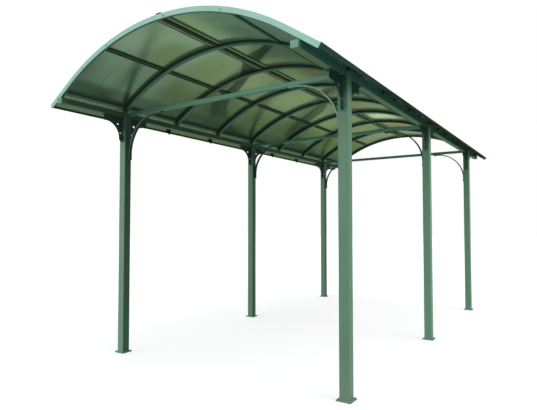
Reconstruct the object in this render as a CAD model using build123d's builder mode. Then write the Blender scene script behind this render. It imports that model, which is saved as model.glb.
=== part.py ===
"""An open carport: two rows of square posts carry eave beams, and arched bars carry clear sheets.

X is across the carport, Y runs from the front to the rear and Z is up.  The origin lies on the
ground under the middle of the roof.  Lengths are in millimetres and angles in degrees.
"""
from build123d import *
import math
import os

# ---------------------------------------------------------------- driving dimensions
bay_length = 700          # from one arch to the next
bay_count = 8
end_bay_length = 678      # from the arch over the end posts to the face of the fascia
post_arches = (1, 4, 7)   # the arches that stand over a pair of posts, counted from the front
row_names = ("front", "middle", "rear")
fit_gap = 0.3             # clearance where a piece seats on or slides beside another
sheet_gap = 0.7           # room for a roof sheet to creep, under it and over it

post_spacing = 2276       # between the middles of a left and a right post
post_side = 75
post_wall = 3
post_rounding = 5
post_top_plate = 5
post_cheek_height = 42    # cheeks on top of a post clasp the beam from both sides
base_side = 110
base_thickness = 8
base_bolt_spacing = 86
base_bolt_radius = 4.5

beam_underside = 2218     # clear height under the eave beams
beam_width = 54
beam_height = 46
beam_wall = 2.5
beam_rounding = 4
beam_end_reach = 22       # how far the eave beams run on past the fascias
beam_cap_thickness = 3
beam_cap_plug = 14        # how far an end cap reaches into the beam

cross_beam_width = 35
cross_beam_height = 35
cross_beam_wall = 2.5
cross_beam_rounding = 4
cross_beam_rise = 8       # its top above the top of the eave beams
cross_beam_setback = 20   # its middle behind the middle of the posts

brace_width = 30
brace_thickness = 12
brace_radius = 370        # of the face that turns towards the corner
brace_beam_tab = 55
brace_post_tab = 50

gusset_reach = 215        # from the post's face to the far end of the plate
gusset_drop = 230         # from the beam down to the foot of the plate
gusset_thickness = 5
gusset_flange_width = 54
gusset_flange_thickness = 4
gusset_end_height = 55
gusset_foot_width = 40
gusset_curve_radius = 150
gusset_foot_chamfer = 18
gusset_hole_radius = 11
gusset_upper_hole = (59, 66)    # from the post's face, and down from the beam
gusset_lower_hole = (24, 152)

arch_radius = 1875        # underside of the arched bars
eave_slope = 34           # the straight run below the curve, from level
eave_run = 274            # length of that straight run
arch_depth = 30
arch_width = 40
arch_web = 6              # the bar between two neighbouring sheets
arch_tail_depth = 12      # of the part that runs on past the eave beam
arch_foot_width = 24      # the foot stands on the outer part of the eave beam
end_arch_width = 18
cap_thickness = 3         # the strip that holds the sheets down
sheet_thickness = 6
ridge_slot_gap = 1        # between the ridge web and the edge of a sheet

fascia_depth = 36
fascia_thickness = 4
fascia_lip = 18           # how far the top of the fascia reaches over the sheet

purlin_angle = 18.7       # round the roof from the ridge to each side purlin
purlin_width = 36
purlin_depth = 12
purlin_leg = 6            # the purlins are channels, open below
purlin_web = 3
ridge_plate_width = 120
ridge_plate_thickness = 3
ridge_lip_width = 6       # along both edges of the ridge plate
ridge_lip_depth = 6
ridge_bar_width = 38
ridge_bar_depth = 14
ridge_web = 6
ridge_strip_width = 60
ridge_cap_width = 48
ridge_cap_thickness = 8

eave_bar_width = 12
eave_bar_gap = 6          # between the bar on the beam and the sheet above it
trim_thickness = 4
trim_depth = 14           # below the sheet
trim_rise = 4             # above the strips that hold the sheets down

# ---------------------------------------------------------------- worked-out places
half_length = (bay_count / 2 - 1) * bay_length + end_bay_length
roof_length = 2 * half_length
half_spacing = post_spacing / 2
beam_top = beam_underside + beam_height
beam_outer = half_spacing + beam_width / 2
post_inner = half_spacing - post_side / 2
sheet_inner = arch_radius + arch_depth + sheet_gap
sheet_outer = sheet_inner + sheet_thickness
cap_inner = sheet_outer + sheet_gap
roof_radius = cap_inner + cap_thickness
slope = math.radians(eave_slope)
row_places = [(arch - bay_count / 2) * bay_length for arch in post_arches]
sides = {"left": -1, "right": 1}


def rise(radius, across):
    """Height of the roof curve of this radius above the arch centre, this far from the middle."""
    bend = radius * math.sin(slope)
    if across < bend:
        return math.sqrt(radius**2 - across**2)
    return radius * math.cos(slope) - (across - bend) * math.tan(slope)


# The arched bars come down to the outer top edge of the eave beams.
arch_centre = beam_top - rise(arch_radius, beam_outer)


def curve_point(radius, angle):
    """Point of a roof curve at this angle from the ridge, as (across, up)."""
    return radius * math.sin(angle), arch_centre + radius * math.cos(angle)


def eave_point(radius, side, run=eave_run):
    """End of the straight run below a roof curve."""
    across, up = curve_point(radius, side * slope)
    return across + side * run * math.cos(slope), up - run * math.sin(slope)


def save(part, name):
    """Label a finished piece and write it."""
    part.label = name
    export_step(part, f"parts/{name}.step")


def draw_roof_band(inner, outer, run=eave_run):
    """Outline of a band that follows the whole roof curve between two radii."""
    right_outer = eave_point(outer, 1, run)
    right_inner = eave_point(inner, 1, run)
    left_outer = eave_point(outer, -1, run)
    left_inner = eave_point(inner, -1, run)
    ThreePointArc(curve_point(outer, -slope), curve_point(outer, 0), curve_point(outer, slope))
    Polyline(curve_point(outer, slope), right_outer, right_inner, curve_point(inner, slope))
    ThreePointArc(curve_point(inner, slope), curve_point(inner, 0), curve_point(inner, -slope))
    Polyline(curve_point(inner, -slope), left_inner, left_outer, curve_point(outer, -slope))


def draw_ridge_band(inner, outer, width):
    """Outline of a band that follows the roof curve over the ridge."""
    angle = math.asin(width / 2 / inner)
    ThreePointArc(curve_point(outer, -angle), curve_point(outer, 0), curve_point(outer, angle))
    Line(curve_point(outer, angle), curve_point(inner, angle))
    ThreePointArc(curve_point(inner, angle), curve_point(inner, 0), curve_point(inner, -angle))
    Line(curve_point(inner, -angle), curve_point(outer, -angle))


def across_plane(place):
    """Upright plane across the carport, whose extrusions by a minus amount run to the rear."""
    return Plane.XZ.offset(-place)


os.makedirs("parts", exist_ok=True)

# ---------------------------------------------------------------- posts
for row, place in zip(row_names, row_places):
    for side_name, side in sides.items():
        middle = side * half_spacing
        with BuildPart() as post:
            with BuildSketch(Plane.XY):
                with Locations((middle, place)):
                    Rectangle(base_side, base_side)
                    with GridLocations(base_bolt_spacing, base_bolt_spacing, 2, 2):
                        Circle(base_bolt_radius, mode=Mode.SUBTRACT)
            extrude(amount=base_thickness)
            with BuildSketch(Plane.XY.offset(base_thickness)):
                with Locations((middle, place)):
                    RectangleRounded(post_side, post_side, post_rounding)
                    hollow = post_side - 2 * post_wall
                    Rectangle(hollow, hollow, mode=Mode.SUBTRACT)
            extrude(amount=beam_underside - base_thickness - post_top_plate)
            with BuildSketch(Plane.XY.offset(beam_underside - post_top_plate)):
                with Locations((middle, place)):
                    RectangleRounded(post_side, post_side, post_rounding)
            extrude(amount=post_top_plate)
            with BuildSketch(Plane.XY.offset(beam_underside)):
                with Locations((middle, place)):
                    RectangleRounded(post_side, post_side, post_rounding)
                    Rectangle(beam_width + 2 * fit_gap, post_side + 2, mode=Mode.SUBTRACT)
            extrude(amount=post_cheek_height)
        save(post.part, f"post_{row}_{side_name}")

# ---------------------------------------------------------------- eave beams and their end caps
beam_length = roof_length + 2 * (beam_end_reach - beam_cap_thickness)
beam_hollow_width = beam_width - 2 * beam_wall
beam_hollow_height = beam_height - 2 * beam_wall
beam_middle_height = beam_underside + beam_height / 2

for side_name, side in sides.items():
    with BuildPart() as eave_beam:
        with BuildSketch(across_plane(-beam_length / 2)):
            with Locations((side * half_spacing, beam_middle_height)):
                RectangleRounded(beam_width, beam_height, beam_rounding)
                Rectangle(beam_hollow_width, beam_hollow_height, mode=Mode.SUBTRACT)
        extrude(amount=-beam_length)
    save(eave_beam.part, f"eave_beam_{side_name}")

with BuildPart() as beam_end_caps:
    for end in (-1, 1):
        for side in sides.values():
            with BuildSketch(across_plane(end * beam_length / 2)):
                with Locations((side * half_spacing, beam_middle_height)):
                    RectangleRounded(beam_width, beam_height, beam_rounding)
            extrude(amount=-end * beam_cap_thickness)
            with BuildSketch(across_plane(end * beam_length / 2)):
                with Locations((side * half_spacing, beam_middle_height)):
                    Rectangle(beam_hollow_width - 2 * fit_gap, beam_hollow_height - 2 * fit_gap)
            extrude(amount=end * beam_cap_plug)
save(beam_end_caps.part, "beam_end_caps")

# ---------------------------------------------------------------- cross beams
cross_beam_top = beam_top + cross_beam_rise
cross_beam_underside = cross_beam_top - cross_beam_height
cross_beam_end = post_inner - fit_gap

for row, place in zip(row_names, row_places):
    with BuildPart() as cross_beam:
        with BuildSketch(Plane.YZ.offset(-cross_beam_end)):
            with Locations((place + cross_beam_setback, cross_beam_top - cross_beam_height / 2)):
                RectangleRounded(cross_beam_width, cross_beam_height, cross_beam_rounding)
                Rectangle(
                    cross_beam_width - 2 * cross_beam_wall,
                    cross_beam_height - 2 * cross_beam_wall,
                    mode=Mode.SUBTRACT,
                )
        extrude(amount=2 * cross_beam_end)
    save(cross_beam.part, f"cross_beam_{row}")

# ---------------------------------------------------------------- curved braces
# A flat bar runs up the post, turns through a quarter circle and runs on under the cross beam.
brace_centre_across = post_inner - brace_radius
brace_centre_up = cross_beam_underside - brace_radius

for row, place in zip(row_names, row_places):
    with BuildPart() as knee_braces:
        for side in sides.values():
            with BuildSketch(across_plane(place + cross_beam_setback - brace_width / 2)):
                with BuildLine():
                    foot = brace_centre_up - brace_post_tab
                    tab_end = side * (brace_centre_across - brace_beam_tab)
                    bend = (side * brace_centre_across, brace_centre_up)
                    diagonal = math.sqrt(0.5)
                    inner_radius = brace_radius - brace_thickness
                    outer_foot = (bend[0] + side * brace_radius, foot)
                    outer_low = (bend[0] + side * brace_radius, bend[1])
                    outer_middle = (
                        bend[0] + side * brace_radius * diagonal,
                        bend[1] + brace_radius * diagonal,
                    )
                    outer_high = (bend[0], bend[1] + brace_radius)
                    outer_tab = (tab_end, bend[1] + brace_radius)
                    inner_tab = (tab_end, bend[1] + inner_radius)
                    inner_high = (bend[0], bend[1] + inner_radius)
                    inner_middle = (
                        bend[0] + side * inner_radius * diagonal,
                        bend[1] + inner_radius * diagonal,
                    )
                    inner_low = (bend[0] + side * inner_radius, bend[1])
                    inner_foot = (bend[0] + side * inner_radius, foot)
                    Line(outer_foot, outer_low)
                    ThreePointArc(outer_low, outer_middle, outer_high)
                    Polyline(outer_high, outer_tab, inner_tab, inner_high)
                    ThreePointArc(inner_high, inner_middle, inner_low)
                    Polyline(inner_low, inner_foot, outer_foot)
                make_face()
            extrude(amount=-brace_width)
    save(knee_braces.part, f"knee_braces_{row}")

# ---------------------------------------------------------------- gusset brackets
# Each post has a pair: an upright plate with a hollow curved edge, welded to a flange that is
# bolted to the post and to a flange that is bolted under the beam.
for row, place in zip(row_names, row_places):
    for side_name, side in sides.items():
        middle = side * half_spacing
        with BuildPart() as gussets:
            for end in (-1, 1):
                face = place + end * post_side / 2

                def spot(out, down):
                    """Point of the plate, from the post's face and down from the beam."""
                    return face + end * out, beam_underside - down

                foot_top = gusset_end_height + gusset_curve_radius
                curve_start = gusset_foot_width + gusset_curve_radius
                curve_share = gusset_curve_radius * (1 - math.sqrt(0.5))
                with BuildSketch(Plane.YZ.offset(middle - gusset_thickness / 2)):
                    with BuildLine():
                        Polyline(
                            spot(gusset_foot_width, foot_top),
                            spot(gusset_foot_width, gusset_drop - gusset_foot_chamfer),
                            spot(gusset_foot_width - gusset_foot_chamfer, gusset_drop),
                            spot(0, gusset_drop),
                            spot(0, 0),
                            spot(gusset_reach, 0),
                            spot(gusset_reach, gusset_end_height),
                            spot(curve_start, gusset_end_height),
                        )
                        ThreePointArc(
                            spot(curve_start, gusset_end_height),
                            spot(gusset_foot_width + curve_share, gusset_end_height + curve_share),
                            spot(gusset_foot_width, foot_top),
                        )
                    make_face()
                    with Locations(spot(*gusset_upper_hole), spot(*gusset_lower_hole)):
                        Circle(gusset_hole_radius, mode=Mode.SUBTRACT)
                extrude(amount=gusset_thickness)
                with BuildSketch(Plane.YZ.offset(middle - gusset_flange_width / 2)):
                    with BuildLine():
                        Polyline(
                            spot(0, 0),
                            spot(gusset_reach, 0),
                            spot(gusset_reach, gusset_flange_thickness),
                            spot(gusset_flange_thickness, gusset_flange_thickness),
                            spot(gusset_flange_thickness, gusset_drop),
                            spot(0, gusset_drop),
                            close=True,
                        )
                    make_face()
                extrude(amount=gusset_flange_width)
        save(gussets.part, f"gussets_{row}_{side_name}")

# ---------------------------------------------------------------- arched bars
# A bar has a deep box under the sheets, a web between them and a strip over them.  The box stops
# at the outside of the eave beam, and only its shallow upper part runs on to the edge of the roof.
# An end bar is a narrow box behind its fascia.
arch_run = eave_run - trim_thickness
seat_radius = arch_radius + arch_depth
tail_radius = seat_radius - arch_tail_depth
end_arch_radius = roof_radius - fascia_depth
end_arch_place = half_length - fascia_thickness - end_arch_width / 2
arch_places = [(arch - bay_count / 2) * bay_length for arch in range(bay_count + 1)]
arch_places[0] = -end_arch_place
arch_places[-1] = end_arch_place
arch_widths = [end_arch_width] + [arch_width] * (bay_count - 1) + [end_arch_width]
foot_inner = beam_outer - arch_foot_width

for number, (place, width) in enumerate(zip(arch_places, arch_widths), start=1):
    at_end = number in (1, bay_count + 1)
    underside = end_arch_radius if at_end else arch_radius
    with BuildPart() as arch:
        with BuildSketch(across_plane(place - width / 2)):
            with BuildLine():
                draw_roof_band(underside, seat_radius, arch_run)
            make_face()
            for side in sides.values():
                tail_start = arch_centre + rise(tail_radius, beam_outer)
                tail_end = eave_point(tail_radius, side)
                with BuildLine():
                    Polyline(
                        (side * beam_outer, tail_start),
                        tail_end,
                        (tail_end[0], tail_end[1] - 2 * arch_depth),
                        (side * beam_outer, tail_start - 2 * arch_depth),
                        close=True,
                    )
                make_face(mode=Mode.SUBTRACT)
                foot_rise = (seat_radius - underside) / 2
                with BuildLine():
                    Polyline(
                        (side * foot_inner, beam_top),
                        (side * beam_outer, beam_top),
                        (side * beam_outer, arch_centre + rise(underside, beam_outer) + foot_rise),
                        (side * foot_inner, arch_centre + rise(underside, foot_inner) + foot_rise),
                        close=True,
                    )
                make_face()
        extrude(amount=-width)
        if not at_end:
            with BuildSketch(across_plane(place - arch_web / 2)):
                with BuildLine():
                    draw_roof_band(seat_radius, cap_inner, arch_run)
                make_face()
            extrude(amount=-arch_web)
            with BuildSketch(across_plane(place - width / 2)):
                with BuildLine():
                    draw_roof_band(cap_inner, roof_radius, arch_run)
                make_face()
            extrude(amount=-width)
    save(arch.part, f"arch_{number}")

# ---------------------------------------------------------------- fascias
# A curved face hides each end of the roof, and its lip holds the last sheet down.
for end_name, end in (("front", -1), ("rear", 1)):
    inner_face = end * (half_length - fascia_thickness)
    with BuildPart() as fascia:
        with BuildSketch(across_plane(inner_face)):
            with BuildLine():
                draw_roof_band(roof_radius - fascia_depth, roof_radius)
            make_face()
        extrude(amount=-end * fascia_thickness)
        with BuildSketch(across_plane(inner_face)):
            with BuildLine():
                draw_roof_band(cap_inner, roof_radius, arch_run)
            make_face()
        extrude(amount=end * fascia_lip)
    save(fascia.part, f"fascia_{end_name}")

# ---------------------------------------------------------------- bars along each bay
bay_starts = [
    place + width / 2 + fit_gap for place, width in zip(arch_places[:-1], arch_widths[:-1])
]
bay_ends = [place - width / 2 - fit_gap for place, width in zip(arch_places[1:], arch_widths[1:])]
bays = list(zip(bay_starts, bay_ends))

# The ridge joiner holds the left and right sheets: a plate with lips under them, a web between
# them and a strip over them.
plate_inner = seat_radius - ridge_plate_thickness
with BuildPart() as ridge_joiner:
    for start, end in bays:
        with BuildSketch(across_plane(start)):
            with BuildLine():
                draw_ridge_band(plate_inner - ridge_lip_depth, seat_radius, ridge_plate_width)
            make_face()
            with BuildLine():
                draw_ridge_band(
                    plate_inner - 2 * ridge_lip_depth,
                    plate_inner,
                    ridge_plate_width - 2 * ridge_lip_width,
                )
            make_face(mode=Mode.SUBTRACT)
            with BuildLine():
                draw_ridge_band(seat_radius, cap_inner, ridge_web)
            make_face()
            with BuildLine():
                draw_ridge_band(cap_inner, roof_radius, ridge_strip_width)
            make_face()
        extrude(amount=start - end)
save(ridge_joiner.part, "ridge_joiner")

# Purlins: an open channel on each side, and a bar under the ridge joiner.
with BuildPart() as purlins:
    for start, end in bays:
        with BuildSketch(across_plane(start)):
            with BuildLine():
                bar_outer = plate_inner - fit_gap
                draw_ridge_band(bar_outer - ridge_bar_depth, bar_outer, ridge_bar_width)
            make_face()
        extrude(amount=start - end)
        for side in sides.values():
            angle = side * math.radians(purlin_angle)
            across, up = curve_point(seat_radius, angle)
            seat = Plane(
                origin=(across, start, up),
                x_dir=(math.cos(angle), 0, -math.sin(angle)),
                z_dir=(0, 1, 0),
            )
            with BuildSketch(seat):
                Rectangle(purlin_width, purlin_depth, align=(Align.CENTER, Align.MIN))
                with Locations((0, purlin_web)):
                    Rectangle(
                        purlin_width - 2 * purlin_leg,
                        purlin_depth,
                        align=(Align.CENTER, Align.MIN),
                        mode=Mode.SUBTRACT,
                    )
            extrude(amount=end - start)
save(purlins.part, "purlins")

# One cap runs from end to end over the ridge and over the lips of both fascias.
with BuildPart() as ridge_cap:
    with BuildSketch(across_plane(-half_length)):
        with BuildLine():
            cap_underside = roof_radius + fit_gap
            draw_ridge_band(cap_underside, cap_underside + ridge_cap_thickness, ridge_cap_width)
        make_face()
    extrude(amount=-roof_length)
save(ridge_cap.part, "ridge_cap")

# A bar on the outer edge of each eave beam closes most of the gap under the sheets.
bar_top = arch_centre + rise(sheet_inner, beam_outer) - eave_bar_gap
with BuildPart() as eave_bars:
    for side in sides.values():
        for start, end in bays:
            with BuildSketch(across_plane(start)):
                with Locations((side * (beam_outer - eave_bar_width / 2), beam_top)):
                    Rectangle(eave_bar_width, bar_top - beam_top, align=(Align.CENTER, Align.MIN))
            extrude(amount=start - end)
save(eave_bars.part, "eave_bars")

# ---------------------------------------------------------------- trims along the sheets' edges
trim_length = roof_length - 2 * fascia_thickness
with BuildPart() as eave_trims:
    for side in sides.values():
        with BuildSketch(across_plane(-trim_length / 2)):
            with BuildLine():
                Polyline(
                    eave_point(sheet_inner - trim_depth, side, arch_run),
                    eave_point(sheet_inner - trim_depth, side, eave_run),
                    eave_point(roof_radius + trim_rise, side, eave_run),
                    eave_point(roof_radius + trim_rise, side, arch_run),
                    close=True,
                )
            make_face()
        extrude(amount=-trim_length)
save(eave_trims.part, "eave_trims")

# ---------------------------------------------------------------- roof sheets
# Each bay has a left and a right sheet, with the ridge web between them.
sheet_starts = [place + arch_web / 2 + fit_gap for place in arch_places[:-1]]
sheet_ends = [place - arch_web / 2 - fit_gap for place in arch_places[1:]]
sheet_starts[0] = fascia_thickness + fit_gap - half_length
sheet_ends[-1] = half_length - fascia_thickness - fit_gap
ridge_slot = ridge_web + 2 * ridge_slot_gap

for number, (start, end) in enumerate(zip(sheet_starts, sheet_ends), start=1):
    with BuildPart() as roof_sheets:
        with BuildSketch(across_plane(start)):
            with BuildLine():
                draw_roof_band(sheet_inner, sheet_outer, arch_run - fit_gap)
            make_face()
            with Locations((0, arch_centre + sheet_outer)):
                Rectangle(ridge_slot, 4 * sheet_thickness, mode=Mode.SUBTRACT)
        extrude(amount=start - end)
    save(roof_sheets.part, f"roof_sheets_{number}")
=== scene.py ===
# %% [markdown]
# # An open carport with an arched roof of green plastic sheets
# This lesson dresses a finished steel and plastic frame.  The frame comes in with its real sizes
# in metres, and nothing in it is moved.  Each step says what a piece or a finish is on the real
# object, how it could be made, and why this way was chosen.

# %% Load the frame
import math
import random

import bpy
from mathutils import Matrix, Vector


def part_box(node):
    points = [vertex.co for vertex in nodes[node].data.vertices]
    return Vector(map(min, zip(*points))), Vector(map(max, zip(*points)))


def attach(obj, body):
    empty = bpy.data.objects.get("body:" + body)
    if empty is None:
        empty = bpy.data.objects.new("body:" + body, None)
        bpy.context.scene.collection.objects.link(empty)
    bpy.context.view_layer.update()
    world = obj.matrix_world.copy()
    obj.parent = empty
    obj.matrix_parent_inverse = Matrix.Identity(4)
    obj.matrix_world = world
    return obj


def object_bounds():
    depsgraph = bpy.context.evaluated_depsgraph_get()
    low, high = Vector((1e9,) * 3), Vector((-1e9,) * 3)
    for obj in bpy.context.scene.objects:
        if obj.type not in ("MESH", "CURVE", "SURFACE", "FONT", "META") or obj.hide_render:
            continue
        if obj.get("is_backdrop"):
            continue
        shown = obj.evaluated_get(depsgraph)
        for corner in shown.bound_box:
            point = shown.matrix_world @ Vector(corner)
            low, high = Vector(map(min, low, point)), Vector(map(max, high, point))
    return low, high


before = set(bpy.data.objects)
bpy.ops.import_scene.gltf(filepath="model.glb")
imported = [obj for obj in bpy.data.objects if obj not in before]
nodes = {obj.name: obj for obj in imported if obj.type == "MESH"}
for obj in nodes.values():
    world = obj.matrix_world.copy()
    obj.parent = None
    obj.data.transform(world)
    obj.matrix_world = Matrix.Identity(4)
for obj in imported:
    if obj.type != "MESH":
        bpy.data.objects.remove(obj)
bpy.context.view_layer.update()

# %% [markdown]
# ## Camera
# A person's eye looks a little upward at a tall open shelter, so the camera stands low in front of
# the right corner and tips up by two degrees.  Its lens could be anything between wide and long; a
# 32 mm lens keeps the near post large and lets the far end of the roof fall away.

# %% Camera
EYE = (2.50511, -5.15485, 1.19345)
TIPPED_UP = 0.0366988
TURNED_LEFT = 0.582739

camera = bpy.data.objects.new("Camera", bpy.data.cameras.new("Camera"))
bpy.context.scene.collection.objects.link(camera)
camera.location = EYE
camera.rotation_euler = (math.pi / 2 + TIPPED_UP, 0, TURNED_LEFT)
camera.data.sensor_width = 36
camera.data.lens = 32.0
camera.data.shift_x = 0.0021
camera.data.shift_y = 0.0050
bpy.context.scene.camera = camera
print("camera lens", camera.data.lens)

# %% [markdown]
# ## Helpers for nodes
# Every finish below is a small web of nodes.  Nodes could be dragged and joined by hand in the
# shader editor, but the same few moves come again and again: add a node, fill its sockets, ramp a
# value, lay one colour over another.  Each of these moves is a short function here.

# %% Nodes and sockets
def fill(tree, socket, value):
    """Link a socket to a node or another socket, or set its number, vector or colour."""
    if isinstance(value, bpy.types.Node):
        value = value.outputs[0]
    if isinstance(value, bpy.types.NodeSocket):
        tree.links.new(value, socket)
    elif socket.type == "RGBA":
        socket.default_value = (*value, 1)
    else:
        socket.default_value = value


def add(tree, kind, *first, **rest):
    """A new node, with its settings, its first sockets in order and other sockets by name."""
    node = tree.nodes.new(kind)
    for key in [key for key in rest if hasattr(node, key)]:
        setattr(node, key, rest.pop(key))
    for socket, value in zip(node.inputs, first):
        fill(tree, socket, value)
    for key, value in rest.items():
        fill(tree, node.inputs[key.replace("_", " ")], value)
    return node


def new_material(name):
    """A material, its node tree and its shader."""
    material = bpy.data.materials.new(name)
    material.use_nodes = True
    return material, material.node_tree, material.node_tree.nodes["Principled BSDF"]


print("node helpers ready")

# %% Small sums with nodes
def work_out(tree, operation, *values):
    """The result of one sum with sockets and numbers."""
    return add(tree, "ShaderNodeMath", *values, operation=operation).outputs[0]


def work_out_vector(tree, operation, *values):
    """The result of one sum with places or colours."""
    return add(tree, "ShaderNodeVectorMath", *values, operation=operation).outputs[0]


def length_of(tree, vector):
    """How long a vector is."""
    return add(tree, "ShaderNodeVectorMath", vector, operation="LENGTH").outputs["Value"]


def times(tree, *values):
    """The product of several values."""
    product = values[0]
    for value in values[1:]:
        product = work_out(tree, "MULTIPLY", product, value)
    return product


def axes_of(tree, vector):
    """The three parts of a vector, by the letters X, Y and Z."""
    return add(tree, "ShaderNodeSeparateXYZ", vector).outputs


print("sums ready")

# %% Ramps, tones and noise
def straight_ramp(tree, value, start, end, low=0.0, high=1.0, kind="LINEAR"):
    """A value that goes evenly from low at start to high at end, and is level outside them."""
    sockets = {"From_Min": start, "From_Max": end, "To_Min": low, "To_Max": high}
    return add(tree, "ShaderNodeMapRange", value, interpolation_type=kind, **sockets).outputs[0]


def smooth_ramp(tree, value, start, end, low=0.0, high=1.0):
    """The same with eased ends, and the start may lie above the end."""
    if start > end:
        start, end, low, high = end, start, high, low
    return straight_ramp(tree, value, start, end, low, high, kind="SMOOTHSTEP")


def blend_colour(tree, share, under, over):
    """A colour with another one laid over a share of it."""
    mixed = add(tree, "ShaderNodeMix", share, data_type="RGBA")
    under_socket, over_socket = mixed.inputs[6], mixed.inputs[7]
    fill(tree, under_socket, under)
    fill(tree, over_socket, over)
    return mixed.outputs[2]


def two_tone(tree, value, start, end, dark, light):
    """A colour that goes from dark to light as a value goes from start to end."""
    tones = add(tree, "ShaderNodeValToRGB", value)
    for stop, position, colour in zip(tones.color_ramp.elements, (start, end), (dark, light)):
        stop.position = position
        stop.color = (*colour, 1)
    return tones.outputs["Color"]


def noise(tree, place, scale, detail, roughness=0.5):
    """Cloudy noise over a place."""
    settings = {"Scale": scale, "Detail": detail, "Roughness": roughness}
    return add(tree, "ShaderNodeTexNoise", Vector=place, **settings).outputs["Fac"]


print("ramps, tones and noise ready")

# %% [markdown]
# ## Floor, sky and lamps
# The shelter stands on a pale floor under an even sky.  A painted sky picture would also light it,
# but a plain white sky keeps every paint at the colour it was mixed to.  The sky is plain white
# where it is looked at, and the floor nearly so, which leaves it a soft shadow under the roof.

# %% Sky
PLAIN_WHITE = (1, 1, 1)
HORIZON_LIGHT, OVERHEAD_LIGHT = 0.18, 1.80


def looked_at(tree):
    """One for a ray from the camera, a reflection or a clear pane, and nothing for other light."""
    path = add(tree, "ShaderNodeLightPath").outputs
    seen = work_out(tree, "MAXIMUM", path["Is Camera Ray"], path["Is Glossy Ray"])
    return work_out(tree, "MAXIMUM", seen, path["Is Transmission Ray"])


world = bpy.data.worlds.new("Sky")
bpy.context.scene.world = world
world.use_nodes = True
sky = world.node_tree
sky.nodes.clear()
height = axes_of(sky, add(sky, "ShaderNodeTexCoord").outputs["Generated"])["Z"]
brightness = straight_ramp(sky, height, 0.0, 1.0, HORIZON_LIGHT, OVERHEAD_LIGHT)
light_sky = add(sky, "ShaderNodeBackground", Color=(0.97, 0.99, 1), Strength=brightness)
seen_sky = add(sky, "ShaderNodeBackground", Color=PLAIN_WHITE, Strength=1.0)
chosen_sky = add(sky, "ShaderNodeMixShader", looked_at(sky), light_sky, seen_sky)
add(sky, "ShaderNodeOutputWorld", chosen_sky)
bpy.context.scene.view_settings.view_transform = "Standard"
print("sky light from", HORIZON_LIGHT, "at the horizon to", OVERHEAD_LIGHT, "overhead")

# %% Floor
FLOOR_SIZE = 90.0
FLOOR_DROP = 0.0005
MATT_SHARE = 0.35

reach = FLOOR_SIZE / 2
corners = [(-reach, -reach, 0), (reach, -reach, 0), (reach, reach, 0), (-reach, reach, 0)]
floor_mesh = bpy.data.meshes.new("floor")
floor_mesh.from_pydata(corners, [], [(0, 1, 2, 3)])
floor = bpy.data.objects.new("floor", floor_mesh)
bpy.context.scene.collection.objects.link(floor)
floor.location.z = -FLOOR_DROP

floor_paint, tree, shader = new_material("floor_paint")
tree.nodes.remove(shader)
white_glow = add(tree, "ShaderNodeEmission", Color=PLAIN_WHITE, Strength=1.0)
matt_white = add(tree, "ShaderNodeBsdfDiffuse", Color=(0.9, 0.9, 0.9))
seen_floor = add(tree, "ShaderNodeMixShader", MATT_SHARE, white_glow, matt_white)
bounced_light = add(tree, "ShaderNodeBsdfDiffuse", Color=(0.28, 0.29, 0.28))
chosen_floor = add(tree, "ShaderNodeMixShader", looked_at(tree), bounced_light, seen_floor)
fill(tree, tree.nodes["Material Output"].inputs[0], chosen_floor)
floor_mesh.materials.append(floor_paint)
floor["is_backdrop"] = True
print("floor", FLOOR_SIZE, "m across")

# %% Two broad soft lamps
def soft_lamp(name, towards, strength, spread):
    """An even lamp that shines along a direction, with soft shadows."""
    data = bpy.data.lights.new(name, "SUN")
    data.energy = strength
    data.angle = math.radians(spread)
    lamp = bpy.data.objects.new(name, data)
    bpy.context.scene.collection.objects.link(lamp)
    lamp.rotation_euler = Vector(towards).to_track_quat("-Z", "Y").to_euler()
    return lamp


LAMP_STRENGTH = 1.15
front_lamp = soft_lamp("front_lamp", (0.30, 1.0, -0.42), LAMP_STRENGTH, 50)
right_lamp = soft_lamp("right_lamp", (-1.0, 0.05, -1.15), LAMP_STRENGTH, 30)
print("lamps:", front_lamp.name, right_lamp.name)

# %% [markdown]
# ## Powder-coated steel
# The posts, beams and brackets are steel with a baked powder coat.  A powder coat is never quite
# even: it has a fine pebbled skin, faint clouds of lighter and darker colour, and rain leaves pale
# upright streaks.  A picture of paint could be wrapped round each bar, but noise in the object's
# own metres needs no unwrapping and has the right scale on every piece.

# %% Rain streaks and splashed dust
STREAK_STRETCH = (38, 38, 1.1)
SPLASH_HEIGHT = 0.30
SPLASH_SCALE = 34.0
DUST = (0.30, 0.29, 0.24)


def rain_streaks(tree, place, paint, colour, amount):
    """Paint with upright streaks over it, in a paler tone of its colour."""
    stretched = add(tree, "ShaderNodeMapping", Vector=place, Scale=STREAK_STRETCH)
    share = straight_ramp(tree, noise(tree, stretched, 1.0, 3.0), 0.5, 0.75, 0.0, amount)
    pale = [0.55 * part + 0.16 for part in colour]
    return blend_colour(tree, share, paint, pale)


def splashed_dust(tree, place, paint, amount):
    """Paint with dust splashed over its lowest part."""
    low_down = straight_ramp(tree, axes_of(tree, place)["Z"], 0.0, SPLASH_HEIGHT, 1.0, 0.0)
    share = times(tree, low_down, noise(tree, place, SPLASH_SCALE, 6.0, 0.7), amount)
    return blend_colour(tree, share, paint, DUST)


print("dust reaches", SPLASH_HEIGHT, "m up a post")

# %% Powder coat
CLOUD_SCALE, CLOUDINESS = 2.3, 0.10
PEBBLE_SCALE, PEBBLE_HEIGHT = 520.0, 0.0006
TINTED_GLOSS = 0.6


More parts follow.
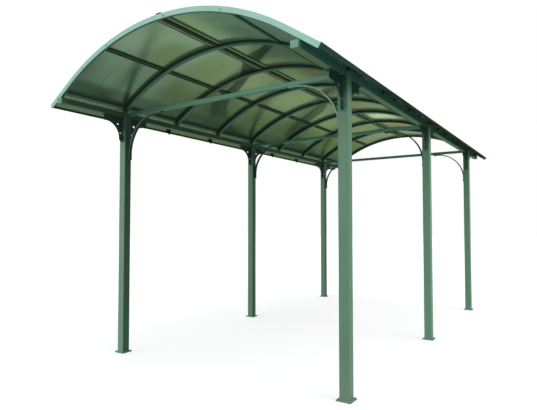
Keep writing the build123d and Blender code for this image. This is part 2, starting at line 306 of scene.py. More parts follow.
def powder_coat(name, colour, dusty=0.0, roughness=0.42, streak=0.10, shine=0.5, flake=0.0):
    """Satin powder coat in the given linear colour, dusty near the ground if asked."""
    material, tree, shader = new_material(name)
    place = add(tree, "ShaderNodeTexCoord").outputs["Object"]
    clouds = noise(tree, place, CLOUD_SCALE, 5.0, 0.55)
    levels = (1 - CLOUDINESS, 1 + CLOUDINESS)
    dark, light = [[part * level for part in colour] for level in levels]
    paint = two_tone(tree, clouds, 0.28, 0.72, dark, light)
    paint = rain_streaks(tree, place, paint, colour, streak)
    if dusty:
        paint = splashed_dust(tree, place, paint, dusty)
    pebbles = noise(tree, place, PEBBLE_SCALE, 2.0)
    skin = add(tree, "ShaderNodeBump", Strength=0.12, Distance=PEBBLE_HEIGHT, Height=pebbles)
    tinted_gloss = [1 - TINTED_GLOSS + TINTED_GLOSS * part / max(colour) for part in colour]
    finish = {
        "Base Color": paint,
        "Roughness": straight_ramp(tree, clouds, 0, 1, roughness - 0.06, roughness + 0.08),
        "Normal": skin,
        "Specular IOR Level": shine,
        "Specular Tint": tinted_gloss,
        "Metallic": flake,
    }
    for socket, value in finish.items():
        fill(tree, shader.inputs[socket], value)
    return material


print("pebbles about", round(1000 / PEBBLE_SCALE, 1), "mm across")

# %% Paints
FLAKE = {"shine": 0.0, "flake": 0.30}
FEW_STREAKS = {"streak": 0.04, **FLAKE}
FEWER_STREAKS = {"streak": 0.02, **FLAKE}
post_green = powder_coat("post_green", (0.090, 0.186, 0.125), dusty=0.40, shine=0.4)
# The left posts have their own copy of this paint, which holds their painted light and shade.
left_post_green = powder_coat("left_post_green", (0.130, 0.255, 0.172), dusty=0.35, shine=0.3)
brace_green = powder_coat("brace_green", (0.028, 0.060, 0.045), **FEW_STREAKS)
bracket_green = powder_coat("bracket_green", (0.032, 0.072, 0.058), **FEW_STREAKS)
fascia_green = powder_coat("fascia_green", (0.25, 0.46, 0.38), roughness=0.36, streak=0.05)
cap_plastic = powder_coat("cap_plastic", (0.125, 0.250, 0.185), roughness=0.5, streak=0.04)
cross_green = powder_coat("cross_green", (0.110, 0.240, 0.165), **FLAKE)
beam_green = powder_coat("beam_green", (0.050, 0.115, 0.095), **FLAKE)
arch_green = powder_coat("arch_green", (0.014, 0.036, 0.030), roughness=0.36, **FEWER_STREAKS)
trim_green = powder_coat("trim_green", (0.022, 0.042, 0.026), streak=0.05, shine=0.0, flake=0.08)
eave_bar_green = powder_coat("eave_bar_green", (0.200, 0.300, 0.180), roughness=0.5, **FLAKE)
purlin_green = powder_coat("purlin_green", (0.032, 0.062, 0.034), **FEWER_STREAKS)
joiner_green = powder_coat("joiner_green", (0.020, 0.050, 0.024), **FEWER_STREAKS)
print("paints:", [paint.name for paint in bpy.data.materials if paint.name.endswith("_green")])

# %% [markdown]
# ## Lighter and darker sides
# On the real shelter a bar does not look one colour from end to end.  Under the roof the sides
# that face the open ends pick up pale light, the sides that face the ground turn olive, and the
# edges under a strip stay dark.  Lamps alone could make this, but many small lamps are slow to
# balance, so each paint also holds faint bands of a second colour, most of them painted light and
# painted shade.  A band is measured in metres on the shelter itself, so it stays on the bar when
# the view turns.

# %% Where a point lies on the roof
ARCH_TOP = 1.9154
ARCH_FOOT = 1.886
ARCH_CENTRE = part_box("arch_5")[1].z - ARCH_TOP
AXIS_OF = {"to the side": "X", "along": "Y", "up": "Z"}


def measure(tree, kind):
    """Metres along an axis, across from the middle, out from the arch centre or round the arch."""
    place = add(tree, "ShaderNodeTexCoord").outputs["Object"]
    lowered = work_out_vector(tree, "SUBTRACT", place, (0, 0, ARCH_CENTRE))
    if kind == "out":
        return length_of(tree, work_out_vector(tree, "MULTIPLY", lowered, (1, 0, 1)))
    axes = axes_of(tree, lowered)
    if kind in AXIS_OF:
        return axes[AXIS_OF[kind]]
    if kind == "across":
        return work_out(tree, "ABSOLUTE", axes["X"])
    angle = work_out(tree, "ARCTAN2", axes["X"], axes["Z"])
    return work_out(tree, "ABSOLUTE", times(tree, angle, ARCH_TOP))


def facing(tree, axis, sign):
    """Share of a surface that faces one way along an axis."""
    normal = add(tree, "ShaderNodeTexCoord").outputs["Normal"]
    return smooth_ramp(tree, times(tree, axes_of(tree, normal)[axis], sign), 0.55, 0.85)


print("arch centre at", round(ARCH_CENTRE, 4), "m above the ground")

# %% Bands of another colour
EVERYWHERE = ("up", -9, 9)
DOWN, FORWARD, RIGHT = ("Z", -1), ("Y", -1), ("X", 1)
EDGE = 0.0015


def overpaint(material, kind, low, high, colour, soft=EDGE, strength=1.0, toward=None):
    """Paint a band of a material, between two places, in another colour."""
    tree = material.node_tree
    base = tree.nodes["Principled BSDF"].inputs["Base Color"]
    under = base.links[0].from_socket
    where = measure(tree, kind)
    shares = [
        smooth_ramp(tree, where, low - soft, low + soft, 0.0, strength),
        smooth_ramp(tree, where, high + soft, high - soft),
    ]
    if toward:
        shares.append(facing(tree, *toward))
    fill(tree, base, blend_colour(tree, times(tree, *shares), under, colour))


print("a band fades over", 2000 * EDGE, "mm")

# %% Bands on the arched bars, the ridge and the purlins
# An arched bar is pale along its lower edge and has a fainter line above, both painted light,
# and is dark at its right foot.  The ridge plate is pale between its edges, a painted highlight
# makes it palest near the left one, and its right edge is lighter.  A side purlin has a lighter
# line down its middle, and the right one is pale all over.
overpaint(arch_green, "out", 1.0, ARCH_FOOT, (0.095, 0.170, 0.120), soft=0.002)
edge_low, edge_high = ARCH_FOOT + 0.009, ARCH_FOOT + 0.022
overpaint(arch_green, "out", edge_low, edge_high, (0.040, 0.078, 0.055), soft=0.002)
overpaint(arch_green, "to the side", 1.12, 1.5, (0.030, 0.065, 0.055), soft=0.02)
overpaint(joiner_green, "across", -0.01, 0.053, (0.300, 0.400, 0.240))
overpaint(joiner_green, "to the side", -0.0535, -0.036, (0.560, 0.660, 0.470))
overpaint(joiner_green, "to the side", 0.053, 0.070, (0.110, 0.180, 0.100))
overpaint(purlin_green, "round", -0.01, 0.025, (0.032, 0.056, 0.026))
overpaint(purlin_green, "round", 0.6125, 0.6375, (0.085, 0.150, 0.090))
overpaint(purlin_green, "to the side", 0.5, 0.619, (0.190, 0.290, 0.190))
overpaint(purlin_green, "to the side", 0.5, 0.7, (0.150, 0.250, 0.170), toward=DOWN)
print("roof bars banded")

# %% Bands on the beams, the bars on them and the trims
# All these bands are painted light and shade.  A beam is painted olive below, as light from the
# ground.  Its right side is painted dark green shade on the left beam, and on the right beam it
# runs from painted bluish light at the front to dark green shade at the rear.  A bar on a beam is
# painted bluish light where it looks out and greener shade at the rear, and the left one is painted
# pale, as painted light, where it looks in under the roof.  The trims are painted lighter and bluer
# at the front, as painted light.
overpaint(beam_green, *EVERYWHERE, (0.110, 0.160, 0.080), toward=DOWN)
overpaint(beam_green, "to the side", -1.3, -1.0, (0.055, 0.115, 0.075), toward=RIGHT)
overpaint(beam_green, "to the side", 1.0, 1.3, (0.095, 0.200, 0.165), toward=RIGHT)
overpaint(beam_green, "along", -0.9, 9, (0.075, 0.140, 0.085), soft=0.7, toward=RIGHT)
overpaint(beam_green, "along", 1.0, 9, (0.040, 0.085, 0.050), soft=0.8, toward=RIGHT)
overpaint(beam_green, "to the side", 1.0, 1.3, (0.125, 0.185, 0.080), toward=DOWN)
overpaint(eave_bar_green, "across", 1.163, 1.2, (0.100, 0.230, 0.215))
overpaint(eave_bar_green, "along", -0.9, 9, (0.110, 0.190, 0.125), soft=0.7, toward=RIGHT)
overpaint(eave_bar_green, "to the side", -1.2, -1.1, (0.440, 0.620, 0.420), toward=RIGHT)
overpaint(trim_green, "along", -3.9, -1.9, (0.040, 0.095, 0.078), soft=0.7)
print("eaves banded")

# %% Bands on the posts, the brackets and the braces
# These bands are painted light and shade.  Further back the right posts are painted lighter and
# the left ones darker.  The sides that face right are painted greener on the right posts and
# painted dark on the left ones, as shade where they look in under the roof.  The fronts of the
# brackets and of the front braces are painted lighter, as painted light from the front.
overpaint(post_green, "along", -1.2, 9, (0.118, 0.225, 0.155), soft=0.5)
overpaint(post_green, "along", 1.2, 9, (0.145, 0.265, 0.185), soft=0.5)
overpaint(post_green, *EVERYWHERE, (0.082, 0.195, 0.095), strength=0.8, toward=RIGHT)
overpaint(post_green, "along", -1.2, 9, (0.105, 0.245, 0.140), soft=0.5, strength=0.6)
overpaint(left_post_green, "along", -1.2, 9, (0.105, 0.215, 0.135), soft=0.5)
overpaint(left_post_green, *EVERYWHERE, (0.038, 0.088, 0.048), toward=RIGHT)
overpaint(bracket_green, *EVERYWHERE, (0.105, 0.205, 0.140), strength=0.8, toward=FORWARD)
overpaint(brace_green, "along", -3.0, -1.5, (0.155, 0.270, 0.190), toward=FORWARD)
print("posts, brackets and braces banded")

# %% [markdown]
# ## Painted reflections on the ceiling
# The glossy underside of the roof carries soft, winding dark shapes and a few warm or bright
# patches: it mirrors the frame and whatever stands around it.  The surroundings could be built
# and mirrored, but they are no part of the shelter, so the shapes are painted into the sheet as
# faint painted reflections, with one painted highlight and a few patches of painted light and
# shade.  A painted reflected band follows a few places on the roof, and fades at both ends.

# %% Where the painted reflections lie
# A patch of painted light has its middle across and along the roof, its size, its strength and
# its colour.
PATCHES = (
    ((0.37, -2.30), (0.22, 0.22), 0.22, (0.060, 0.130, 0.085)),
    ((0.12, -2.50), (0.16, 0.26), 0.50, (0.320, 0.400, 0.240)),
    ((-0.40, -1.75), (0.32, 0.32), 0.45, (0.190, 0.270, 0.095)),
    ((-0.42, -2.25), (0.34, 0.26), 0.65, (0.150, 0.215, 0.080)),
    ((0.32, -1.13), (0.16, 0.24), 0.60, (0.330, 0.230, 0.120)),
    ((0.20, 0.40), (0.16, 0.26), 0.70, (0.330, 0.240, 0.130)),
    ((0.20, 1.80), (0.20, 0.26), 0.95, (0.340, 0.170, 0.095)),
    ((-0.22, 1.76), (0.20, 0.20), 0.40, (0.330, 0.250, 0.150)),
    ((0.28, 1.10), (0.28, 0.28), 1.00, (0.880, 1.000, 0.740)),
)
# A painted reflected band's places are across and along the roof, each with half the band's
# width there.
FRONT_REFLECTION = (
    (0.62, -2.20, 0.12), (0.35, -1.90, 0.06), (0.05, -1.67, 0.11), (-0.45, -1.23, 0.08),
    (-0.75, -1.12, 0.13), (-0.95, -0.90, 0.22), (-1.10, -0.50, 0.35),
)
MIDDLE_REFLECTION = (
    (0.38, -0.55, 0.06), (0.05, -0.30, 0.10), (-0.10, 0.05, 0.11), (-0.30, 0.29, 0.13),
    (-0.60, 0.46, 0.15), (-0.80, 0.57, 0.19), (-1.10, 1.00, 0.35),
)
REFLECTED_BANDS = (FRONT_REFLECTION, MIDDLE_REFLECTION)
REFLECTION_COLOUR = (0.050, 0.086, 0.060)
REFLECTION_STRENGTH = 0.85
print("reflected_bands:", len(REFLECTED_BANDS), "patches:", len(PATCHES))

# %% Painted reflected bands and patches
ACROSS_LOW, ACROSS_HIGH = -1.2, 0.7
WIDEST_HALF = 0.5


def follow(tree, value, places, low, high):
    """A value drawn as a smooth curve through places, kept between low and high."""
    curve = add(tree, "ShaderNodeFloatCurve")
    fill(tree, curve.inputs["Value"], straight_ramp(tree, value, ACROSS_LOW, ACROSS_HIGH))
    points = curve.mapping.curves[0].points
    across = ACROSS_HIGH - ACROSS_LOW
    spots = sorted(((x - ACROSS_LOW) / across, (y - low) / (high - low)) for x, y in places)
    points[0].location, points[1].location = spots[0], spots[-1]
    for spot in spots[1:-1]:
        points.new(*spot)
    curve.mapping.update()
    return straight_ramp(tree, curve, 0.0, 1.0, low, high)


def reflected_band(tree, axes, shape):
    """Share of a painted dark reflection that winds over the sheet."""
    first, last = min(x for x, _, _ in shape), max(x for x, _, _ in shape)
    nearest, farthest = min(y for _, y, _ in shape), max(y for _, y, _ in shape)
    middle = follow(tree, axes["X"], [(x, y) for x, y, _ in shape], nearest, farthest)
    half_width = follow(tree, axes["X"], [(x, w) for x, _, w in shape], 0.0, WIDEST_HALF)
    away = work_out(tree, "ABSOLUTE", work_out(tree, "SUBTRACT", axes["Y"], middle))
    part = work_out(tree, "DIVIDE", away, half_width)
    inside = smooth_ramp(tree, part, 1.05, 0.65, 0.0, REFLECTION_STRENGTH)
    fade_in = smooth_ramp(tree, axes["X"], first, first + 0.20)
    fade_out = smooth_ramp(tree, axes["X"], last, last - 0.30)
    return times(tree, inside, fade_in, fade_out)


def patch(tree, place, centre, size, strength):
    """Share of a soft round patch of painted light on the sheet."""
    moved = work_out_vector(tree, "SUBTRACT", place, (*centre, 0))
    scaled = work_out_vector(tree, "MULTIPLY", moved, (1 / size[0], 1 / size[1], 0))
    return smooth_ramp(tree, length_of(tree, scaled), 1.0, 0.3, 0.0, strength)


print("a smear is drawn from", ACROSS_LOW, "to", ACROSS_HIGH, "m across")

# %% [markdown]
# ## Roof sheets
# The roof is twin-wall plastic: two thin glossy skins joined by many narrow webs that run round the
# arch.  It could be built web by web, but at a centimetre apart the webs read as fine lines, so
# they are drawn and embossed by a wave across the sheet.  The upper side stays darker than the
# underside, which the white floor lights.

# %% Fine lines in a sheet
WAVES_PER_METRE = 20 / (2 * math.pi)  # of a wave texture at a scale of one
WEB_SCALE = 29.9
ROUND_THE_ARCH = (0.5, 30, 0.5)


def fine_lines(tree, place):
    """The webs of a sheet and its streaks, both running round the arch."""
    stretched = add(tree, "ShaderNodeMapping", Vector=place, Scale=ROUND_THE_ARCH)
    webs = add(tree, "ShaderNodeTexWave", bands_direction="Y", Vector=place, Scale=WEB_SCALE)
    return webs.outputs["Fac"], noise(tree, stretched, 1.0, 4.0, 0.6)


print("webs", round(1000 / (WEB_SCALE * WAVES_PER_METRE), 1), "mm apart")

# %% Painted light and shade on the underside
WANDER = 0.18


def wandering_place(tree, place):
    """A place pushed gently this way and that, so that no tint ends in a straight line."""
    wander = add(tree, "ShaderNodeTexNoise", Vector=place, Scale=1.6, Detail=2.0)
    double, less = (2 * WANDER, 2 * WANDER, 0), (-WANDER, -WANDER, 0)
    shift = work_out_vector(tree, "MULTIPLY_ADD", wander.outputs["Color"], double, less)
    return work_out_vector(tree, "ADD", shift, place)


def underside_painted_light(tree, place, below, last):
    """The colour so far with painted light, shade and reflections over it, on the underside only.
    """
    axes = axes_of(tree, wandering_place(tree, place))
    front = smooth_ramp(tree, axes["Y"], -1.75, -2.15, 0.0, 0.9)
    left = smooth_ramp(tree, axes["X"], -0.35, -0.85)
    right = smooth_ramp(tree, axes["X"], 0.10, 0.60)
    past_front = smooth_ramp(tree, axes["Y"], -2.3, -1.9)
    front_half = smooth_ramp(tree, axes["Y"], 0.1, -0.5, 0.0, 0.7)
    rear_half = smooth_ramp(tree, axes["Y"], 0.5, 0.9, 0.0, 0.8)
    # The tints are painted light and shade: darker on the left and at the right rear, lighter and
    # bluer at the front, lightest at the right front.
    tints = [
        ((0.125, 0.190, 0.098), [left]),
        ((0.270, 0.400, 0.270), [front]),
        ((0.160, 0.260, 0.175), [front, left]),
        ((0.400, 0.680, 0.500), [right, front]),
        ((0.280, 0.440, 0.300), [right, front_half, past_front]),
        ((0.185, 0.220, 0.110), [right, rear_half]),
    ]
    still = axes_of(tree, place)
    tints += [(REFLECTION_COLOUR, [reflected_band(tree, still, shape)]) for shape in REFLECTED_BANDS]
    tints += [(colour, [patch(tree, place, *shape)]) for *shape, colour in PATCHES]
    for colour, shares in tints:
        last = blend_colour(tree, times(tree, below, *shares), last, colour)
    return last


print("a tint's edge wanders by up to", WANDER, "m")

# %% Twin-wall sheet
WEB_SHARE = 0.25
DARKEST_LINE, LIGHTEST_LINE = 0.88, 1.12
TOP_SIDE_SHADE = 0.5
EMBOSSING = 0.0004


def twin_wall_sheet(name, dark, light):
    """Green twin-wall plastic with fine webs round the arch, cloudy and a little streaked."""
    material, tree, shader = new_material(name)
    place = add(tree, "ShaderNodeTexCoord").outputs["Object"]
    webs, streaks = fine_lines(tree, place)
    fine = work_out(tree, "MULTIPLY_ADD", webs, WEB_SHARE, streaks)
    lines = straight_ramp(tree, fine, 0.3, 0.95, DARKEST_LINE, LIGHTEST_LINE)
    below = facing(tree, *DOWN)
    # The upper side is painted darker than the underside: painted shade.
    level = times(tree, lines, smooth_ramp(tree, below, 0.0, 1.0, TOP_SIDE_SHADE, 1.0))
    cloudy = two_tone(tree, noise(tree, place, 0.9, 3.0), 0.30, 0.68, dark, light)
    tinted = underside_painted_light(tree, place, below, cloudy)
    finish = {
        "Base Color": add(tree, "ShaderNodeVectorMath", tinted, operation="SCALE", Scale=level),
        "Roughness": straight_ramp(tree, streaks, 0, 1, 0.13, 0.24),
        "Normal": add(tree, "ShaderNodeBump", Strength=0.10, Distance=EMBOSSING, Height=webs),
        "Metallic": 0.5,
        "Specular IOR Level": 0.0,
        "Specular Tint": (0.60, 0.76, 0.48),
    }
    for socket, value in finish.items():
        fill(tree, shader.inputs[socket], value)
    return material


sheet_plastic = twin_wall_sheet("sheet_plastic", (0.200, 0.300, 0.200), (0.340, 0.400, 0.240))
print("sheet finish:", sheet_plastic.name)

# %% Painted light and shade along the eaves of the sheets
NARROW = {"soft": 0.004, "toward": DOWN}
WIDE = {"soft": 0.03, "strength": 0.8, "toward": DOWN}
# Along the left eave the sheet is painted with a wide dark reflection of the beam, an olive tone of
# painted light outside the beam and a pale painted light strip beside the bar; outside the right
# beam it is painted bluish light.
overpaint(sheet_plastic, "to the side", -1.16, -0.99, (0.075, 0.130, 0.085), **WIDE)
overpaint(sheet_plastic, "to the side", -1.4, -1.14, (0.160, 0.225, 0.125), **NARROW)
overpaint(sheet_plastic, "to the side", -1.17, -1.14, (0.440, 0.640, 0.430), **NARROW)
overpaint(sheet_plastic, "to the side", 1.14, 1.4, (0.110, 0.250, 0.240), **NARROW)
print("sheets banded")

# %% [markdown]
# ## Finishes on the frame
# Every bar and sheet of the frame now gets its finish by the first words of its name.  They could
# be picked one by one, but a table of names keeps a whole row of like pieces the same.

# %% Put each finish on its pieces
finish_of = {
    "post": post_green,
    "eave_beam": beam_green,
    "cross_beam": cross_green,
    "gussets": bracket_green,
    "knee_braces": brace_green,
    "arch": arch_green,
    "purlins": purlin_green,
    "ridge": joiner_green,
    "ridge_cap": arch_green,
    "eave_trims": trim_green,
    "fascia": fascia_green,
    "eave_bars": eave_bar_green,
    "beam_end_caps": cap_plastic,
    "roof_sheets": sheet_plastic,
}
for name, piece in nodes.items():
    start = max((key for key in finish_of if name.startswith(key)), key=len)
    left_post = start == "post" and name.endswith("left")
    piece.data.materials.clear()
    piece.data.materials.append(left_post_green if left_post else finish_of[start])
print("finished nodes:", len(nodes))

# %% [markdown]
# ## Shapes for fixings
# Nuts, bolts and screws repeat all over the frame.  Each kind is drawn once as a stack of rings,
# the way a turner reads a bolt from end to end, and is then set down wherever one is wanted.  A
# plain cylinder would be quicker, but a chamfered head on a washer catches the light as steel does.

# %% Turned and six-sided shapes
def hexagon(across_flats):
    """Radius of a hexagon at an angle."""
    def radius(angle):
        return across_flats / 2 / math.cos((angle + math.pi / 6) % (math.pi / 3) - math.pi / 6)
    return radius


def stack(rings, sides=24):
    """Skin over a stack of rings, each a radius or a rule for one, and a height."""
    points, faces = [], []
    for radius, height in rings:
        for step in range(sides):
            angle = 2 * math.pi * step / sides
            size = radius(angle) if callable(radius) else radius
            points.append((size * math.cos(angle), size * math.sin(angle), height))
    for ring in range(len(rings) - 1):
        for step in range(sides):
            near, far = ring * sides + step, ring * sides + (step + 1) % sides
            faces.append((near, far, far + sides, near + sides))
    faces.append(tuple(reversed(range(sides))))
    faces.append(tuple(range(len(points) - sides, len(points))))
    return points, faces


def together(*shapes):
    """Several shapes as one."""
    points, faces = [], []
    for shape_points, shape_faces in shapes:
        faces += [tuple(index + len(points) for index in face) for face in shape_faces]
        points += shape_points
    return points, faces


corner_radius = hexagon(0.013)(math.pi / 6)
print("a 13 mm hexagon reaches", round(corner_radius * 1000, 2), "mm to its corners")

# %% Washers, heads and threads
def washer(radius, thickness):
    """A washer with eased edges."""
    ease = thickness * 0.25
    edge = [(radius - ease, 0), (radius, ease), (radius, thickness - ease)]
    return stack([*edge, (radius - ease, thickness), (radius * 0.4, thickness)])


def hex_head(across_flats, height, base):
    """A chamfered six-sided head that starts at a height."""
    flat, six_sided = across_flats / 2, hexagon(across_flats)
    skirt = [(flat * 0.93, base), (six_sided, base + height * 0.10)]
    chamfer = [(six_sided, base + height * 0.80), (flat * 0.94, base + height)]
    return stack([*skirt, *chamfer, (flat * 0.30, base + height * 0.97)], sides=36)


def thread(radius, low, high, pitch):
    """A threaded shank."""
    rings = [(radius * 0.7, low)]
    for turn in range(int((high - low) / pitch)):
        rings.append((radius, low + (turn + 0.2) * pitch))
        rings.append((radius * 0.86, low + (turn + 0.7) * pitch))
    rings.append((radius * 0.7, high))
    return stack(rings, sides=16)


bolt_shape = together(washer(0.0085, 0.0016), hex_head(0.013, 0.0053, 0.0016))
anchor_shape = together(
    washer(0.0080, 0.0014), hex_head(0.013, 0.0040, 0.0014), thread(0.0040, 0.0014, 0.0074, 0.00125)
)
screw_shape = together(
    washer(0.0080, 0.0024),
    stack([(0.0052, 0.0024), (0.0052, 0.0040), (0.0042, 0.0058), (0.0020, 0.0064)], sides=16),
)
print("points in a bolt", len(bolt_shape[0]), "an anchor", len(anchor_shape[0]))

# %% Setting shapes down
def build(name, shapes, material, sharp=35):
    """One piece from shapes and where each goes, riding on the frame."""
    placed = [
        ([where @ Vector(point) for point in points], faces) for (points, faces), where in shapes
    ]
    points, faces = together(*placed)
    mesh = bpy.data.meshes.new(name)
    mesh.from_pydata(points, [], faces)
    mesh.update()
    mesh.shade_smooth()
    mesh.set_sharp_from_angle(angle=math.radians(sharp))
    mesh.materials.append(material)
    piece = bpy.data.objects.new(name, mesh)
    bpy.context.scene.collection.objects.link(piece)
    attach(piece, "root")
    return piece


def stand(point, direction, turn=0.0):
    """Place a shape at a point with its axis along a direction."""
    pose = Vector(direction).to_track_quat("Z", "Y").to_matrix().to_4x4()
    return Matrix.Translation(Vector(point)) @ pose @ Matrix.Rotation(turn, 4, "Z")


random.seed(7)


def any_turn():
    """A turn that differs from bolt to bolt."""
    return random.uniform(0, math.pi / 3)


print("a shape stood up at one metre:", tuple(stand((0, 0, 1), (0, 0, 1)).translation))

# %% Where the posts stand
def middle_of(node):
    """Where the middle of a piece of the frame is, across and along."""
    low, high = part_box(node)
    return (low.x + high.x) / 2, (low.y + high.y) / 2


ROWS, SIDES = ("front", "middle", "rear"), ("left", "right")
POST_HALF = 0.0375
PLATE_TOP = 0.008
post_names = [f"{row}_{side}" for row in ROWS for side in SIDES]
posts = [(name, *middle_of(f"post_{name}")) for name in post_names]
print("posts:", [(name, round(x, 3), round(y, 3)) for name, x, y in posts])

# %% [markdown]
# ## Finishes for the fixings
# Roof screws are zinc-plated, and zinc has a faint cloudy bloom.  One even grey would look like
# paint, so fine noise varies its colour and its gloss.  The caps that hang below the left eave are
# dark matt plastic.

# %% Zinc and dark plastic
def plated_steel(name, colour, roughness):
    """Zinc-plated steel, a little cloudy."""
    material, tree, shader = new_material(name)
    clouds = noise(tree, add(tree, "ShaderNodeTexCoord").outputs["Object"], 160.0, 4.0)
    dark, light = [[part * level for part in colour] for level in (0.75, 1.15)]
    gloss = straight_ramp(tree, clouds, 0, 1, roughness - 0.1, roughness + 0.1)
    fill(tree, shader.inputs["Base Color"], two_tone(tree, clouds, 0.3, 0.7, dark, light))
    fill(tree, shader.inputs["Roughness"], gloss)
    fill(tree, shader.inputs["Metallic"], 1.0)
    return material


MATT = {"roughness": 0.6, "streak": 0.0, "shine": 0.0}
zinc = plated_steel("zinc", (0.42, 0.43, 0.42), 0.38)
dark_plastic = powder_coat("dark_plastic", (0.013, 0.030, 0.024), **MATT)
print("fixing finishes:", zinc.name, dark_plastic.name)

# %% [markdown]
# ## Anchors in the base plates
# Each post stands on a square plate with four anchors.  They could be left bare zinc, but none
# stands out from the plate, so they are low and have been brushed over with the post's paint.

# %% Base anchors
ANCHOR_OFFSETS = (-0.043, 0.043)
for post, x, y in posts:
    anchors = []
    for across in ANCHOR_OFFSETS:
        for along in ANCHOR_OFFSETS:
            spot = (x + across, y + along, PLATE_TOP)
            anchors.append((anchor_shape, stand(spot, (0, 0, 1), any_turn())))
    build(f"anchors_{post}", anchors, post_green)
print("anchors:", len(anchors) * len(posts))

# %% [markdown]
# ## Weld beads
# A post is welded to its plate, and a bracket's plate to its flanges.  A smooth fillet would do
# from afar, but a hand-laid bead shows a ripple for each drop of metal, so the bead's radius swells
# and shrinks as it goes.

# %% Weld bead along a path
RIPPLE = 0.0030
FOOT_BEAD, BRACKET_BEAD = 0.0038, 0.0024


def weld_bead(path, radius, sides):
    """Rippled beads along the straight runs between points, each with its place."""
    beads = []
    for start, end in zip(path[:-1], path[1:]):
        run = Vector(end) - Vector(start)
        count = max(2, int(run.length / RIPPLE) * 2)
        swells = [radius * (1.0 if step % 2 else 0.84) for step in range(count + 1)]
        rings = [(swell, run.length * step / count) for step, swell in enumerate(swells)]
        beads.append((stack(rings, sides), stand(start, run)))
    return beads


print("a bead ripples every", 1000 * RIPPLE, "mm")

# %% Welds at the feet and in the brackets
FLANGE = 0.004
BRACKET_PLATE = 0.0025
SEAM_END = 0.006
CORNERS = ((-1, -1), (1, -1), (1, 1), (-1, 1), (-1, -1))


def bracket_seams(post, x, y):
    """Beads down both sides of a bracket's two plates, along the post and under the beam."""
    low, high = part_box(f"gussets_{post}")
    top = high.z - FLANGE
    seams = []
    for end, tip in ((-1, low.y), (1, high.y)):
        face = y + end * (POST_HALF + FLANGE)
        for edge in (x - BRACKET_PLATE, x + BRACKET_PLATE):
            foot, corner = (edge, face, low.z + SEAM_END), (edge, face, top)
            seams += weld_bead([foot, corner, (edge, tip - end * SEAM_END, top)], BRACKET_BEAD, 6)
    return seams


for post, x, y in posts:
    foot = [(x + side * POST_HALF, y + end * POST_HALF, PLATE_TOP) for side, end in CORNERS]
    beads, seams = weld_bead(foot, FOOT_BEAD, 8), bracket_seams(post, x, y)
    build(f"foot_weld_{post}", beads, post_green, sharp=60)
    build(f"bracket_welds_{post}", seams, bracket_green, sharp=60)
print("beads at a foot:", len(beads), "in a bracket:", len(seams))

# %% [markdown]
# ## Bolts in the brackets and braces
# The brackets are bolted up into the eave beams and sideways into the posts, and the curved braces
# are held by one bolt in each of their end tabs.  Pairs of heads on the flanges sit either side of
# the bracket's plate.  Real bolts pass through the steel, but only their heads can be seen, so only
# a head and its washer are made.

# %% Bracket bolts
BOLT_ASIDE = 0.0165
UNDER_BEAM = (0.090, 0.185)
DOWN_POST = (0.075, 0.200)
for post, x, y in posts:
    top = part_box(f"gussets_{post}")[1].z
    heads = []
    for end in (-1, 1):
        for across in (-BOLT_ASIDE, BOLT_ASIDE):
            for out in UNDER_BEAM:
                spot = (x + across, y + end * (POST_HALF + out), top - FLANGE)
                heads.append((bolt_shape, stand(spot, (0, 0, -1), any_turn())))
            for drop in DOWN_POST:
                spot = (x + across, y + end * (POST_HALF + FLANGE), top - drop)
                heads.append((bolt_shape, stand(spot, (0, end, 0), any_turn())))
    build(f"bracket_bolts_{post}", heads, bracket_green)
print("bracket bolts:", len(heads) * len(posts))

# %% Brace bolts
BRACE_THICKNESS = 0.012
BRACE_RADIUS = 0.370
BOLT_FROM_END = 0.0275
for row in ROWS:
    low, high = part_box(f"knee_braces_{row}")
    y = middle_of(f"knee_braces_{row}")[1]
    heads = []
    for side in (-1, 1):
        spot = (side * (high.x - BRACE_RADIUS - BOLT_FROM_END), y, high.z - BRACE_THICKNESS)
        heads.append((bolt_shape, stand(spot, (0, 0, -1), any_turn())))
        spot = (side * (high.x - BRACE_THICKNESS), y, low.z + BOLT_FROM_END)
        heads.append((bolt_shape, stand(spot, (-side, 0, 0), any_turn())))
    build(f"brace_bolts_{row}", heads, bracket_green)
print("brace bolts:", len(heads) * len(ROWS))

# %% [markdown]
# ## Fixings along the eaves, the fascias and the roof bars
# Each arched bar between the end ones has a fixing at its foot, under a rounded cap that hangs
# below the edge of the roof; those on the right have the paint of the trim beside them.  Small
# screws with sealing washers hold the strips that press the sheets down, and a few more hold the
# fascias.  The screws in the strips could all stand upright, but real ones sit square to the roof,
# so each of them is turned to the curve where it stands.

# %% Hanging caps at the ends of the arched bars
CAP_INSET, CAP_RISE, CAP_LEAN = 0.034, 0.012, 0.10
cap_rings = [
    (0.0175, 0.004), (0.0180, 0.010), (0.0150, 0.016),
    (0.0095, 0.024), (0.0050, 0.031), (0.0025, 0.034),
]
hanging_cap = together(washer(0.0190, 0.0040), stack(cap_rings))
middle_arches = range(2, 9)
for name, side, finish in (("left", -1, dark_plastic), ("right", 1, trim_green)):
    hangers = []
    for number in middle_arches:
        low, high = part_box(f"arch_{number}")
        spot = (side * (high.x - CAP_INSET), (low.y + high.y) / 2, low.z + CAP_RISE)
        hangers.append((hanging_cap, stand(spot, (-side * CAP_LEAN, 0, -1), any_turn())))
    build(f"eave_bolts_{name}", hangers, finish)
    print("hanging caps:", len(hangers), name)

# %% Places round the curve
SLOPE = math.radians(34)


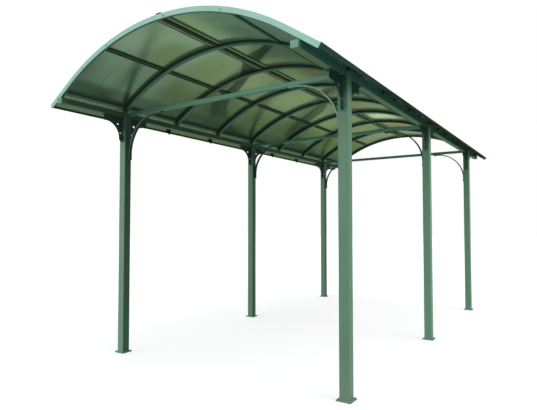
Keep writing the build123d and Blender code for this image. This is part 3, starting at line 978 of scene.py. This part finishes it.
def roof_spot(along, y, lift=0.0):
    """Point and outward direction on the roof, this far round the curve from the ridge."""
    side = -1 if along < 0 else 1
    bend = ARCH_TOP * SLOPE
    angle = side * min(abs(along), bend) / ARCH_TOP
    past = max(0.0, abs(along) - bend)
    out = Vector((math.sin(angle), 0, math.cos(angle)))
    down = Vector((side * math.cos(SLOPE), 0, -math.sin(SLOPE))) * past
    return Vector((0, y, ARCH_CENTRE)) + out * (ARCH_TOP + lift) + down, out


print("crown of the roof bars:", roof_spot(0, 0)[0])

# %% Fascia screws
FASCIA_SCREWS = (-0.585, 0.05, 0.585)
FASCIA_MIDDLE = -0.018
for end, place in (("front", -1), ("rear", 1)):
    low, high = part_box(f"fascia_{end}")
    face = low.y if place < 0 else high.y
    spots = [roof_spot(along, face, lift=FASCIA_MIDDLE)[0] for along in FASCIA_SCREWS]
    screws = [(screw_shape, stand(spot, (0, place, 0), any_turn())) for spot in spots]
    build(f"fascia_screws_{end}", screws, fascia_green)
print("fascia screws:", 2 * len(screws))

# %% Screws in the strips
STRIP_SPACING = 0.315
strip_screws = []
for number in middle_arches:
    y = middle_of(f"arch_{number}")[1]
    for step in (-4, -3, -2, -1, 1, 2, 3, 4):
        spot, out = roof_spot(step * STRIP_SPACING, y)
        strip_screws.append((screw_shape, stand(spot, out, any_turn())))
build("strip_screws", strip_screws, zinc)
print("strip screws:", len(strip_screws))

# %% Screws in the ridge cap
RIDGE_SCREWS = 17
RIDGE_MARGIN = 0.06
ridge_low, ridge_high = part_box("ridge_cap")
run = ridge_high.y - ridge_low.y - 2 * RIDGE_MARGIN
ridge_screws = []
for step in range(RIDGE_SCREWS):
    y = ridge_low.y + RIDGE_MARGIN + step * run / (RIDGE_SCREWS - 1)
    ridge_screws.append((screw_shape, stand((0, y, ridge_high.z), (0, 0, 1), any_turn())))
build("ridge_screws", ridge_screws, zinc)
print("ridge screws:", len(ridge_screws))

# %% [markdown]
# ## The end
# The size of the dressed shelter is measured at the end.

# %% Sizes, and the end
low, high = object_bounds()
